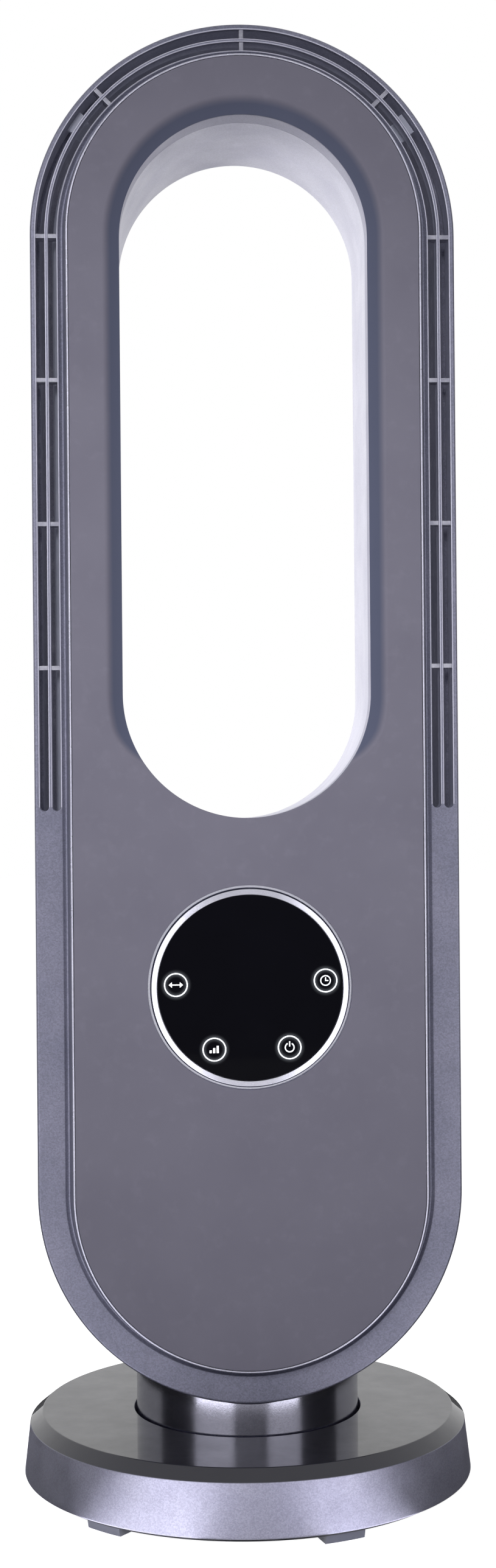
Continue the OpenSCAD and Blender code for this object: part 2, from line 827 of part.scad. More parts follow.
module swing_motor() {
    color("#b9bcc2") difference() {
        union() {
            translate([0, swing_motor_y, 8.1]) cylinder(r = 14, h = 18.4);
            translate([-21, swing_motor_y - 3.5, 8.1]) cube([42, 7, 1.2]);
            translate([0, -gear_dist, 26]) cylinder(r = 4.5, h = 2);
        }
        translate([0, -gear_dist, 18]) cylinder(r = 2.55, h = 12);
        for (x = [-17.5, 17.5]) translate([x, swing_motor_y, 5]) cylinder(r = 1.7, h = 6);
    }
}

module swing_motor_screws() {
    color("#c8c9cc") for (x = [-17.5, 17.5]) translate([x, swing_motor_y, 0]) {
        translate([0, 0, 9.4]) cylinder(r = 2.6, h = 1.8);
        translate([0, 0, 5.2]) cylinder(r = 1.3, h = 5);
    }
}

module swing_pinion() {
    color("#f0ede4") translate([0, -gear_dist, 0]) {
        translate([0, 0, gear_z0 - 0.4]) linear_extrude(6.6) rotate(360 / pinion_n / 2 + 90)
            gear_shape(pinion_n, 0.06);
        translate([0, 0, 18.4]) cylinder(r = 2.5, h = 17);
    }
}

front_frame();
front_panel();
loop_trim();
loop_liner();
rear_shell();
rear_cover();
air_guide();
inlet_grille();
scroll_housing();
control_bezel();
control_glass();
touch_icons();
control_carrier();
control_board();
touch_springs();
icon_lamps();
power_board();
power_parts();
motor_can();
motor_dampers();
motor_screws();
case_screws();
neck_collar();
neck_screws();
mast_screws();
turntable();
swing_lead();
impeller();
impeller_nut();
motor_shaft();
base_cover();
base_plate();
ballast_ring();
ballast_screws();
rubber_feet();
base_screws();
cord_gland();
terminal_block();
thrust_washer();
retaining_washer();
retaining_screws();
swing_motor();
swing_motor_screws();
swing_pinion();
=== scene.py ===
import bpy
import bmesh
import json
import math
from math import cos, sin, pi
from mathutils import Matrix, Vector


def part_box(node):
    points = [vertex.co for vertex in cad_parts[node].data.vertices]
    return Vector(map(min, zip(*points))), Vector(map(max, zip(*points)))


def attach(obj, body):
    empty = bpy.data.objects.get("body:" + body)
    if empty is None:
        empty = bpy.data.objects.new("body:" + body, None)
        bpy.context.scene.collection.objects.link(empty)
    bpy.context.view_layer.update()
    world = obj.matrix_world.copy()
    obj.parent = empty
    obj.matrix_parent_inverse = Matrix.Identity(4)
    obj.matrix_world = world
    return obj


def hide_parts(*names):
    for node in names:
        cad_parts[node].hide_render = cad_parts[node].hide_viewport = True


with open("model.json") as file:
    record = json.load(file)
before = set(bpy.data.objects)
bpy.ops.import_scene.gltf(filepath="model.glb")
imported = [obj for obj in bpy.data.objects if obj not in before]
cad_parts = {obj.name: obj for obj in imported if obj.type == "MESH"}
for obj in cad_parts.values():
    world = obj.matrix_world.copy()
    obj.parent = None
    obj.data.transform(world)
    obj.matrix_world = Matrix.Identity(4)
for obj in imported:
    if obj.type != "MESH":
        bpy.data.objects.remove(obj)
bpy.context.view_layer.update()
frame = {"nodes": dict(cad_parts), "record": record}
mm = 0.001


def boxOf(node):
    low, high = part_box(node)
    return [v / mm for v in low], [v / mm for v in high]


def halfWidth(node):
    return round(boxOf(node)[1][0], 3)


frameLow, frameHigh = boxOf("front_frame")
panelLow, panelHigh = boxOf("front_panel")
trimLow, trimHigh = boxOf("loop_trim")
glassLow, glassHigh = boxOf("control_glass")
faceStep = dict(land=11.0, rim=0.5)   # how far the land lies back, how far the panel laps out
bodyHalf = frameHigh[0]
topArc = frameHigh[2] - bodyHalf      # height of the top arc's centre
lowArc = frameLow[2] + bodyHalf       # height of the bottom arc's centre
panelFace = -panelLow[1]              # forward distances count from the swing axis
landFace = panelFace - faceStep["land"]
panelHalf = panelHigh[0]
panelRim = panelHalf + faceStep["rim"]
loopTopArc = trimHigh[2] - trimHigh[0]
loopLowArc = trimLow[2] + trimHigh[0]
discZ = round((glassLow[2] + glassHigh[2]) / 2, 3)    # height of the touch disc's centre
print("frame read: body half width %.1f, height %.1f" % (bodyHalf, frameHigh[2]))


# shared mesh tools; radii, heights and forward distances are in millimetres

sharpFrom = 38                # degrees between two faces from which their edge shades sharp
casingSteps = (96, 30)        # steps round each arc and along each side
loopSteps = (120, 24)


def ringStations(lowZ, topZ, arcSteps, sideSteps):
    # each station: centre height, then the outward direction x, z
    out = [(topZ, cos(pi * i / arcSteps), sin(pi * i / arcSteps)) for i in range(arcSteps + 1)]
    out += [(topZ + (lowZ - topZ) * i / sideSteps, -1.0, 0.0) for i in range(1, sideSteps)]
    out += [(lowZ, cos(pi + pi * i / arcSteps), sin(pi + pi * i / arcSteps))
            for i in range(arcSteps + 1)]
    out += [(lowZ + (topZ - lowZ) * i / sideSteps, 1.0, 0.0) for i in range(1, sideSteps)]
    return out


def addLoop(bm, points):
    return [bm.verts.new((x * mm, y * mm, z * mm)) for x, y, z in points]


def ringLoop(bm, stations, radius, forward):
    # radius and forward are one number, or a list with one for each station
    radii = radius if isinstance(radius, list) else [radius] * len(stations)
    depths = forward if isinstance(forward, list) else [forward] * len(stations)
    return addLoop(bm, [(r * c, -v, cz + r * s)
                        for (cz, c, s), r, v in zip(stations, radii, depths)])


def bridge(bm, a, b, closed=True):
    n = len(a)
    for i in range(n if closed else n - 1):
        j = (i + 1) % n
        bm.faces.new((a[i], a[j], b[j], b[i]))


def bridgeAll(bm, loops, closed=True):
    for a, b in zip(loops, loops[1:]):
        bridge(bm, a, b, closed)


def fillFlat(bm, loops):
    edges = []
    for loop in loops:
        for a, b in zip(loop, loop[1:] + loop[:1]):
            edges.append(bm.edges.get((a, b)) or bm.edges.new((a, b)))
    bmesh.ops.triangle_fill(bm, use_beauty=True, use_dissolve=False, edges=edges)


def makePiece(name, bm, material, body, replaced):
    bmesh.ops.recalc_face_normals(bm, faces=bm.faces)
    mesh = bpy.data.meshes.new(name)
    bm.to_mesh(mesh)
    bm.free()
    mesh.shade_smooth()
    mesh.set_sharp_from_angle(angle=math.radians(sharpFrom))
    piece = bpy.data.objects.new(name, mesh)
    bpy.context.scene.collection.objects.link(piece)
    weighted = piece.modifiers.new("evenShading", "WEIGHTED_NORMAL")
    weighted.keep_sharp = True
    mesh.materials.append(material)
    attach(piece, body)
    if replaced:
        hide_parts(*replaced)


def arcPoints(cx, cy, radius, fromDeg, toDeg, steps=4):
    return [(cx + radius * cos(math.radians(fromDeg + (toDeg - fromDeg) * i / steps)),
             cy + radius * sin(math.radians(fromDeg + (toDeg - fromDeg) * i / steps)))
            for i in range(steps + 1)]


def roundedSection(corners, steps=4):
    # corners: (x, y, radius) of a closed outline; returns points with the corners rounded
    out = []
    n = len(corners)
    for i, (x, y, radius) in enumerate(corners):
        here = Vector((x, y))
        if radius <= 0:
            out.append((x, y))
            continue
        before = (Vector(corners[i - 1][:2]) - here).normalized()
        after = (Vector(corners[(i + 1) % n][:2]) - here).normalized()
        half = before.angle(after) / 2
        back = radius / math.tan(half)
        start, end = here + before * back, here + after * back
        centre = here + (before + after).normalized() * (radius / sin(half))
        a0 = math.atan2(start.y - centre.y, start.x - centre.x)
        a1 = math.atan2(end.y - centre.y, end.x - centre.x)
        turn = (a1 - a0 + pi) % (2 * pi) - pi
        out += [(centre.x + radius * cos(a0 + turn * k / steps),
                 centre.y + radius * sin(a0 + turn * k / steps)) for k in range(steps + 1)]
    return out


def sweepRing(bm, stations, section):
    loops = [ringLoop(bm, stations, r, v) for r, v in section]
    bridgeAll(bm, loops + loops[:1])


def turned(bm, section, place, steps=160, closed=True):
    # section points (radius, along) are carried round an axis; place maps (x, y, along) to space
    loops = []
    for radius, along in section:
        loops.append(addLoop(bm, [place(radius * cos(2 * pi * i / steps),
                                        radius * sin(2 * pi * i / steps), along)
                                  for i in range(steps)]))
    bridgeAll(bm, loops + loops[:1] if closed else loops)
    return loops


def onDisc(x, y, along):
    return (x, -along, discZ + y)


def barAlong(bm, centre, sideways, lengthways, halfWidth, halfLength, frontV, backV, edge=0.35):
    # a bar lying in the front face: rounded at the front, as deep as frontV to backV
    section = [(-halfWidth, backV), (-halfWidth, frontV - edge)]
    section += [(-halfWidth + edge - edge * cos(a), frontV - edge + edge * sin(a))
                for a in (pi / 8, pi / 4, 3 * pi / 8, pi / 2)]
    section += [(-x, v) for x, v in reversed(section)]
    ends = []
    for t in (-halfLength, halfLength):
        ends.append(addLoop(bm, [(centre[0] + sideways[0] * w + lengthways[0] * t, -v,
                                  centre[1] + sideways[1] * w + lengthways[1] * t)
                                 for w, v in section]))
    bridge(bm, ends[0], ends[1])
    bm.faces.new(ends[0])
    bm.faces.new(list(reversed(ends[1])))


# finishes

def rgb(code):
    out = []
    for k in (0, 2, 4):
        c = int(code[k:k + 2], 16) / 255
        out.append(c / 12.92 if c <= 0.04045 else ((c + 0.055) / 1.055) ** 2.4)
    return (*out, 1)


finishes = {
    "frameLacquer": dict(color="787889", shade="6d6e7f", rough=(0.34, 0.46), metallic=0.35,
                         grain=900, bump=0.10, flake=1500, flakeMix=0.16, wear="c4c5d2",
                         slotGlow=0.17, rims=(100.95, 105.95, 107.45, 112.65), rimEnd=385.3,
                         # the slot lips' light colour is a painted highlight
                         rimPaintedHighlight="b9b9c8"),
    # painted highlight: light colour for the bead along the panel's edge
    "edgePaintedHighlight": dict(color="c6c6d4", shade="babac9", rough=(0.24, 0.34), metallic=0.6,
                       grain=900, bump=0.04, flake=1500, flakeMix=0.08, wear="e4e4ec"),
    "ribLacquer": dict(color="7c7c8b", shade="747483", rough=(0.3, 0.4), metallic=0.35,
                       grain=900, bump=0.06, flake=1500, flakeMix=0.1, wear="e2e2ea"),
    "panelMatte": dict(color="747280", shade="706e7c", rough=(0.5, 0.62), metallic=0.0,
                       # the darker colour of the band round the loop is a painted shade
                       grain=1600, bump=0.06, wear="8a8896", shine=0.2, bandPaintedShade="565a6e",
                       evenWear=0.2),
    "trimSatin": dict(color="b4b3c4", shade="aaa9bb", rough=(0.4, 0.5), metallic=0.2,
                      grain=1200, bump=0.05, flake=1700, flakeMix=0.08, wear="d6d5df"),
    "linerSatin": dict(color="d9d8e6", shade="cac9d9", rough=(0.3, 0.4), metallic=0.1,
                       grain=1100, bump=0.06, flake=1700, flakeMix=0.08, wear="dcdbe4"),
    "innerMatte": dict(color="8b8d9c", shade="7f8190", rough=(0.45, 0.6), metallic=0.0,
                       grain=1300, bump=0.08, wear="9c9eab", glow=0.13),
    "grilleMatte": dict(color="41424a", shade="383941", rough=(0.5, 0.64), metallic=0.0,
                        grain=1300, bump=0.08, wear="5c5d66"),
    "brightRing": dict(color="dcdce4", shade="cfd0d9", rough=(0.2, 0.3), metallic=1.0,
                       grain=2400, bump=0.04, wear="f2f2f4"),
    "baseLacquer": dict(color="a0a0b0", shade="9696a8", rough=(0.44, 0.54), metallic=0.85,
                        grain=900, bump=0.05, flake=1600, flakeMix=0.13, wear="b6b7c4",
                        # painted shade: darker colour where the base's surface looks up
                        coat=0.8, coatRough=0.03, topPaintedShade="22222c", sideCoat=0.12),
    "neckSatin": dict(color="a3a3ae", shade="9a9aa5", rough=(0.14, 0.2), metallic=1.0,
                      grain=1500, bump=0.04, flake=1800, flakeMix=0.10, wear="a2a3ac"),
    "footGrey": dict(color="8d8f9e", shade="7f8190", rough=(0.5, 0.62), metallic=0.0,
                     grain=1300, bump=0.08, wear="a4a6b2"),
    "shellLacquer": dict(color="787889", shade="6d6e7f", rough=(0.34, 0.46), metallic=0.35,
                         grain=900, bump=0.10, flake=1500, flakeMix=0.16, wear="c4c5d2",
                         insideGlow=0.2, evenWear=0.25),
    "iconPrint": dict(color="f4f6fa", shade="e6eaf0", rough=(0.4, 0.5), metallic=0.0,
                      grain=3000, bump=0.01, wear="ffffff", glow=1.0),
    "boardGreen": dict(color="1d4d33", shade="173f29", rough=(0.35, 0.5), metallic=0.0,
                       grain=1500, bump=0.05, wear="2d6747"),
    "partDark": dict(color="2a3440", shade="202832", rough=(0.4, 0.55), metallic=0.0,
                     grain=1500, bump=0.04, wear="4a5663"),
    "lampMilk": dict(color="f5f1dc", shade="e8e2c6", rough=(0.25, 0.35), metallic=0.0,
                     grain=2500, bump=0.02, wear="fffdf0"),
    "springBrass": dict(color="c9a54a", shade="b48f38", rough=(0.2, 0.32), metallic=1.0,
                        grain=2500, bump=0.03, wear="e4c877"),
    "castMetal": dict(color="b3b6bc", shade="a2a5ac", rough=(0.38, 0.52), metallic=1.0,
                      grain=800, bump=0.15, wear="cfd1d6"),
    "softRubber": dict(color="232326", shade="1b1b1e", rough=(0.7, 0.85), metallic=0.0,
                       grain=1000, bump=0.12, wear="38383c"),
    "screwZinc": dict(color="b9babd", shade="a3a5aa", rough=(0.25, 0.4), metallic=1.0,
                      grain=1800, bump=0.06, wear="dcdde0"),
    "screwBlack": dict(color="3a3b40", shade="2f3034", rough=(0.35, 0.5), metallic=0.8,
                       grain=1800, bump=0.06, wear="6a6b70"),
    "gearAcetal": dict(color="e6e3da", shade="dad6ca", rough=(0.35, 0.48), metallic=0.0,
                       grain=1200, bump=0.04, wear="f4f2ec"),
    "fanNylon": dict(color="6c6e78", shade="5f616b", rough=(0.5, 0.64), metallic=0.0,
                     grain=1100, bump=0.10, wear="858791"),
    "plateBlack": dict(color="2b2c31", shade="232428", rough=(0.55, 0.7), metallic=0.0,
                       grain=1100, bump=0.10, wear="45464c"),
    "ballastIron": dict(color="3f4044", shade="323337", rough=(0.6, 0.8), metallic=0.6,
                        grain=500, bump=0.3, wear="5c5d62"),
}


wearLook = dict(cloudScale=22, cloud=(0.35, 0.65), sheenScale=60, sheen=(0.3, 0.7), rubScale=140,
                rubEdges=(0.35, 0.7), rubFaces=(0.55, 0.8), edge=(0.53, 0.62), edgeWear=0.55,
                leastRub=0.25, bumpDepth=0.4, noiseRough=0.55)
shadeLook = dict(rimWidth=(0.25, 0.5), rimDepth=(0.1, 0.7), rimFade=0.5, bandDepth=(0.4, 2.6),
                 topRise=(0.3, 0.75), glowDepth=(0.4, 3.5), glowEdge=2.2, glowFade=0.3,
                 inward=(-0.02, -0.03))


def node(tree, kind, **settings):
    # each setting is an input socket's value or one of the node's own options
    new = tree.nodes.new(kind)
    for key, value in settings.items():
        if key in new.inputs:
            new.inputs[key].default_value = value
        else:
            setattr(new, key, value)
    return new


def feed(tree, sockets, values):
    for socket, value in zip(sockets, values):
        if isinstance(value, bpy.types.NodeSocket):
            tree.links.new(value, socket)
        else:
            socket.default_value = value


def mathNode(tree, operation, *values):
    new = node(tree, "ShaderNodeMath", operation=operation)
    feed(tree, new.inputs, values)
    return new.outputs[0]


def measure(tree, operation, *values):
    # a length, distance or dot product of vectors
    new = node(tree, "ShaderNodeVectorMath", operation=operation)
    feed(tree, new.inputs, values)
    return new.outputs["Value"]


def mixColor(tree, factor, a, b):
    mix = node(tree, "ShaderNodeMix", data_type="RGBA")
    feed(tree, [mix.inputs[k] for k in (0, 6, 7)], (factor, a, b))
    return mix.outputs[2]


def mapRange(tree, value, fromLow, fromHigh, toLow, toHigh):
    new = node(tree, "ShaderNodeMapRange")
    feed(tree, new.inputs, (value, fromLow, fromHigh, toLow, toHigh))
    return new.outputs[0]


def splitVector(tree, vector):
    new = tree.nodes.new("ShaderNodeSeparateXYZ")
    tree.links.new(vector, new.inputs[0])
    return list(new.outputs)


def fromMiddle(tree, place):
    # the vector out from the casing's upright middle line
    across, _, height = splitVector(tree, place)
    middle = node(tree, "ShaderNodeClamp", Min=lowArc * mm, Max=topArc * mm)
    tree.links.new(height, middle.inputs[0])
    away = tree.nodes.new("ShaderNodeCombineXYZ")
    tree.links.new(across, away.inputs[0])
    tree.links.new(mathNode(tree, "SUBTRACT", height, middle.outputs[0]), away.inputs[2])
    return away.outputs[0]


def withinReach(tree, place, limit):
    # 1 within that distance of the middle line
    return mapRange(tree, measure(tree, "LENGTH", fromMiddle(tree, place)), limit * mm,
                    (limit + shadeLook["glowFade"]) * mm, 1, 0)


def faceInward(tree, place):
    # 1 where a face of the casing looks towards the casing's own middle line
    away = fromMiddle(tree, place)
    turned = node(tree, "ShaderNodeVectorTransform", vector_type="NORMAL",
                  convert_from="WORLD", convert_to="OBJECT")
    tree.links.new(tree.nodes.new("ShaderNodeNewGeometry").outputs["True Normal"],
                   turned.inputs[0])
    return mapRange(tree, measure(tree, "DOT_PRODUCT", away, turned.outputs[0]),
                    *shadeLook["inward"], 0, 1)


def combine(tree, operation, sockets):
    # one result from many, such as their sum or the greatest
    total = sockets[0]
    for socket in sockets[1:]:
        total = mathNode(tree, operation, total, socket)
    return total


def newMaterial(name):
    material = bpy.data.materials.new(name)
    material.use_nodes = True
    tree = material.node_tree
    return material, tree, tree.nodes["Principled BSDF"]


def objectPlace(tree):
    return tree.nodes.new("ShaderNodeTexCoord").outputs["Object"]


def makeFinish(name, spec):
    material, tree, shader = newMaterial(name)
    place = objectPlace(tree)

    def noise(scale, detail):
        new = node(tree, "ShaderNodeTexNoise", Scale=scale, Detail=detail,
                   Roughness=wearLook["noiseRough"])
        tree.links.new(place, new.inputs["Vector"])
        return new.outputs["Fac"]

    def byDepth(face, span, low, high):
        # low to high between two depths under a face
        return mapRange(tree, splitVector(tree, place)[1], -(face - span[0]) * mm,
                        -(face - span[1]) * mm, low, high)

    color = mixColor(tree, mapRange(tree, noise(wearLook["cloudScale"], 3), *wearLook["cloud"],
                                    0, 1), rgb(spec["color"]), rgb(spec["shade"]))
    if "flake" in spec:
        flake = node(tree, "ShaderNodeTexVoronoi", Scale=spec["flake"])
        tree.links.new(place, flake.inputs["Vector"])
        bright = tree.nodes.new("ShaderNodeSeparateColor")
        tree.links.new(flake.outputs["Color"], bright.inputs[0])
        spark = mapRange(tree, bright.outputs[0], 0, 1, -spec["flakeMix"], spec["flakeMix"])
        tone = tree.nodes.new("ShaderNodeHueSaturation")
        tree.links.new(mathNode(tree, "ADD", spark, 1), tone.inputs["Value"])
        tree.links.new(color, tone.inputs["Color"])
        color = tone.outputs["Color"]
    if "evenWear" in spec:
        # broad flat faces: faint scuffs all over
        rubbed = mapRange(tree, noise(wearLook["rubScale"], 4), *wearLook["rubFaces"], 0,
                          spec["evenWear"])
    else:
        edge = tree.nodes.new("ShaderNodeNewGeometry").outputs["Pointiness"]
        rubbed = mathNode(
            tree, "MULTIPLY",
            mapRange(tree, edge, *wearLook["edge"], 0, wearLook["edgeWear"]),
            mapRange(tree, noise(wearLook["rubScale"], 4), *wearLook["rubEdges"],
                     wearLook["leastRub"], 1))
    color = mixColor(tree, rubbed, color, rgb(spec["wear"]))
    if "rims" in spec:
        # painted highlight: the air slots' lips are coloured lighter than the front face
        reach = measure(tree, "LENGTH", fromMiddle(tree, place))
        narrow, wide = (width * mm for width in shadeLook["rimWidth"])
        bands = []
        for rim in spec["rims"]:
            off = mathNode(tree, "ABSOLUTE", mathNode(tree, "SUBTRACT", reach, rim * mm))
            bands.append(mapRange(tree, off, narrow, wide, 1, 0))
        above = mapRange(tree, splitVector(tree, place)[2],
                         (spec["rimEnd"] - shadeLook["rimFade"]) * mm, spec["rimEnd"] * mm, 0, 1)
        shown = combine(tree, "MULTIPLY", [combine(tree, "MAXIMUM", bands),
                                         byDepth(landFace, shadeLook["rimDepth"], 1, 0), above])
        color = mixColor(tree, shown, color, rgb(spec["rimPaintedHighlight"]))
    if "bandPaintedShade" in spec:
        # painted shade: the band that falls away to the loop is coloured darker
        color = mixColor(tree, byDepth(panelFace, shadeLook["bandDepth"], 0, 1), color,
                         rgb(spec["bandPaintedShade"]))
    if "topPaintedShade" in spec:
        # painted shade: the colour turns darker where the surface looks up
        normal = tree.nodes.new("ShaderNodeNewGeometry").outputs["Normal"]
        rise = mapRange(tree, splitVector(tree, normal)[2], *shadeLook["topRise"], 0, 1)
        color = mixColor(tree, rise, color, rgb(spec["topPaintedShade"]))
    tree.links.new(color, shader.inputs["Base Color"])
    tree.links.new(mapRange(tree, noise(wearLook["sheenScale"], 4), *wearLook["sheen"],
                            *spec["rough"]), shader.inputs["Roughness"])
    bump = node(tree, "ShaderNodeBump", Strength=spec["bump"], Distance=wearLook["bumpDepth"] * mm)
    tree.links.new(noise(spec["grain"], 3), bump.inputs["Height"])
    tree.links.new(bump.outputs[0], shader.inputs["Normal"])
    shader.inputs["Metallic"].default_value = spec["metallic"]
    shader.inputs["Specular IOR Level"].default_value = spec.get("shine", 0.5)
    if "coat" in spec:
        # glossy where the surface looks up, nearly bare on the skirt
        shader.inputs["Coat Weight"].default_value = spec["coat"]
        tree.links.new(mapRange(tree, rise, 0, 1, spec["sideCoat"], spec["coat"]),
                       shader.inputs["Coat Weight"])
        shader.inputs["Coat Roughness"].default_value = spec["coatRough"]
    glow = spec.get("glow")
    if "slotGlow" in spec:
        # stray light in the air slots, from just under the front face back
        glow = mathNode(tree, "MULTIPLY",
                        byDepth(landFace, shadeLook["glowDepth"], 0, spec["slotGlow"]),
                        withinReach(tree, place, bodyHalf - shadeLook["glowEdge"]))
    elif "insideGlow" in spec:
        # light that strays inside the casing: only faces that look inwards take it
        glow = mapRange(tree, faceInward(tree, place), 0, 1, 0, spec["insideGlow"])
    if glow is not None:
        tree.links.new(color, shader.inputs["Emission Color"])
        feed(tree, [shader.inputs["Emission Strength"]], [glow])
    return material


looks = {name: makeFinish(name, spec) for name, spec in finishes.items()}
slotFinish = {
    "frame_plastic": "frameLacquer", "panel_plastic": "panelMatte", "liner_plastic": "linerSatin",
    "grille_plastic": "grilleMatte", "inner_plastic": "innerMatte", "bright_ring": "brightRing",
    "icon_print": "iconPrint", "circuit_board": "boardGreen", "electronics": "partDark",
    "lamp_lens": "lampMilk", "spring_brass": "springBrass", "motor_metal": "castMetal",
    "damper_rubber": "softRubber", "screw_steel": "screwZinc", "screw_black": "screwBlack",
    "neck_plastic": "neckSatin", "gear_plastic": "gearAcetal", "lead_sheath": "softRubber",
    "fan_plastic": "fanNylon", "nut_brass": "springBrass", "shaft_steel": "screwZinc",
    "base_plastic": "baseLacquer", "plate_plastic": "plateBlack", "ballast_iron": "ballastIron",
    "foot_rubber": "footGrey", "gland_rubber": "softRubber", "touch_glass": "partDark",
}
slotOf = {part["node"]: part["material_slot"] for part in frame["record"]["subparts"]}
for nodeName, cadObject in frame["nodes"].items():
    finish = looks[slotFinish[slotOf[nodeName]]]
    if nodeName in ("rear_shell", "rear_cover"):
        finish = looks["shellLacquer"]
    if not cadObject.material_slots:
        cadObject.data.materials.append(finish)
    for materialSlot in cadObject.material_slots:
        materialSlot.material = finish
print("finishes made:", len(looks))


# front frame: land with two air slots, valley and riser round the panel

frameParts = dict(edgeRadius=1.5, chamfer=0.4, wall=2.4, backV=40.2, slotDepth=9.0,
                  outerSlot=(107.7, 112.4), innerSlot=(101.2, 105.7), slotEnd=385.3, lip=0.5,
                  lipSteps=4, lipBack=4.0, riserOut=0.6, ribWidth=2.4, ribDrop=0.7,
                  ribPitch=78.0, ribReach=0.3, ribFoot=0.5, arcRibs=5, sideRibs=3)
# radius and height over the land, from the land's inner edge down through the valley
valleyLine = [(100.7, 0), (100.45, -0.05), (100.2, -0.2), (99.4, -0.95), (98.9, -1.25),
              (98.45, -1.3), (98.05, -1.1), (97.75, -0.6), (97.6, 0.2), (97.5, 1.2)]
# out from the riser's top and back from the panel's face
riserLine = [(1.25, 2.2), (1.1, 1.7), (0.8, 1.3), (0.4, 1.2), (-0.36, 1.2), (-0.42, 2.0)]
# out from the panel's half width and back from its face: the ledge that holds the panel
ledgeLine = [(0.16, 2.8), (-3, 2.8), (-3, 5), (-0.4, 5)]
# out from the riser's top, back from the panel's face, corner radius
beadLine = [(-0.36, 1.3, 0.05), (-0.36, 0.04, 0.2), (0.5, 0.04, 0.42), (0.82, 1.3, 0.05)]


def slotOutline(span, grow, arcSteps=96, sideSteps=40, endSteps=10):
    inner, outer = span
    mid, rad = (inner + outer) / 2, (outer - inner) / 2 + grow
    ro, ri, end = outer + grow, inner - grow, frameParts["slotEnd"]
    rise = topArc - end
    pts = [(ro, end + rise * i / sideSteps) for i in range(sideSteps)]
    pts += [(ro * cos(pi * i / arcSteps), topArc + ro * sin(pi * i / arcSteps))
            for i in range(arcSteps)]
    pts += [(-ro, topArc - rise * i / sideSteps) for i in range(sideSteps)]
    pts += [(-mid + rad * cos(pi + pi * i / endSteps), end + rad * sin(pi + pi * i / endSteps))
            for i in range(endSteps)]
    pts += [(-ri, end + rise * i / sideSteps) for i in range(sideSteps)]
    pts += [(ri * cos(pi - pi * i / arcSteps), topArc + ri * sin(pi - pi * i / arcSteps))
            for i in range(arcSteps)]
    pts += [(ri, topArc - rise * i / sideSteps) for i in range(sideSteps)]
    pts += [(mid + rad * cos(pi + pi * i / endSteps), end + rad * sin(pi + pi * i / endSteps))
            for i in range(endSteps)]
    return pts


def buildFrontFrame():
    p = frameParts
    bm = bmesh.new()
    stations = ringStations(lowArc, topArc, *casingSteps)
    er, lf = p["edgeRadius"], landFace
    under = lf - p["slotDepth"]
    outerChain = arcPoints(bodyHalf - er, lf - er, er, 90, 0, 6)
    outerChain += [(bodyHalf, p["backV"] + p["chamfer"]), (bodyHalf - p["chamfer"], p["backV"]),
                   (bodyHalf - p["wall"], p["backV"]), (bodyHalf - p["wall"], under)]
    riserTop = panelRim + p["riserOut"]
    innerChain = [(r, lf + up) for r, up in valleyLine]
    innerChain += [(riserTop + out, panelFace - back) for out, back in riserLine]
    innerChain += [(panelHalf + out, panelFace - back) for out, back in ledgeLine]
    innerChain += [(panelHalf + 1.2, lf - 0.3), (98.0, lf - 3.2), (98.2, under)]
    outerLoops = [ringLoop(bm, stations, r, v) for r, v in outerChain]
    innerLoops = [ringLoop(bm, stations, r, v) for r, v in innerChain]
    bridgeAll(bm, outerLoops)
    bridgeAll(bm, innerLoops)
    topHoles, lowHoles = [], []
    for span in (p["outerSlot"], p["innerSlot"]):
        rows = []
        for k in range(p["lipSteps"] + 1):
            a = pi / 2 * k / p["lipSteps"]
            rows.append((p["lip"] * (1 - sin(a)), lf - p["lip"] * (1 - cos(a))))
        rows.append((0, lf - p["lipBack"]))
        rows.append((0, under))
        loops = [addLoop(bm, [(x, -v, z) for x, z in slotOutline(span, grow)]) for grow, v in rows]
        bridgeAll(bm, loops)
        topHoles.append(loops[0])
        lowHoles.append(loops[-1])
    fillFlat(bm, [outerLoops[0], innerLoops[0]] + topHoles)
    fillFlat(bm, [outerLoops[-1], innerLoops[-1]] + lowHoles)
    makePiece("frontFrame", bm, looks["frameLacquer"], "head", ["front_frame"])


def buildPanelEdge():
    # the fine bead between the riser and the panel, coloured light as a painted highlight
    bm = bmesh.new()
    top = panelRim + frameParts["riserOut"]
    section = roundedSection([(top + out, panelFace - back, radius)
                              for out, back, radius in beadLine], 5)
    sweepRing(bm, ringStations(lowArc, topArc, *casingSteps), section)
    makePiece("panelEdge", bm, looks["edgePaintedHighlight"], "head", ["front_frame"])


def buildSlotRibs():
    p = frameParts
    bm = bmesh.new()
    low, high = p["innerSlot"][0] - p["ribReach"], p["outerSlot"][1] + p["ribReach"]
    mid, half = (low + high) / 2, (high - low) / 2
    frontV, backV = landFace - p["ribDrop"], landFace - p["slotDepth"] + p["ribFoot"]
    for k in range(p["arcRibs"]):
        a = pi * k / (p["arcRibs"] - 1)
        barAlong(bm, (mid * cos(a), topArc + mid * sin(a)), (-sin(a), cos(a)), (cos(a), sin(a)),
                 p["ribWidth"] / 2, half, frontV, backV)
    for side in (-1, 1):
        for k in range(1, p["sideRibs"] + 1):
            barAlong(bm, (side * mid, topArc - k * p["ribPitch"]), (0, 1), (1, 0),
                     p["ribWidth"] / 2, half, frontV, backV)
    makePiece("slotRibs", bm, looks["ribLacquer"], "head", [])


buildFrontFrame()
buildPanelEdge()
buildSlotRibs()
print("front frame and ribs made")


# front panel with the sloped band round the loop

panelParts = dict(edge=0.45, thick=2.5, band=9.2, lipIn=2.2, lipDrop=6.0, lipBack=0.6,
                  cornerRadius=35.0, cornerZ=438.7, leastBand=0.7, mostBand=12.0, bandSteps=14,
                  seam=0.04, seamDrop=0.25, ribOut=10.6, ribDrop=3.6, backOut=12.8,
                  controlHole=55.15, holeSteps=128)
# out from the lip and back from its rear edge: the lip's turned-in back
lipLine = [(0.06, 0), (2.4, 2.4), (4.8, 2.4)]
# out from the control hole and back from the panel's face
holeLine = [(0.4, 0), (0.12, 0.12), (0, 0.4)]
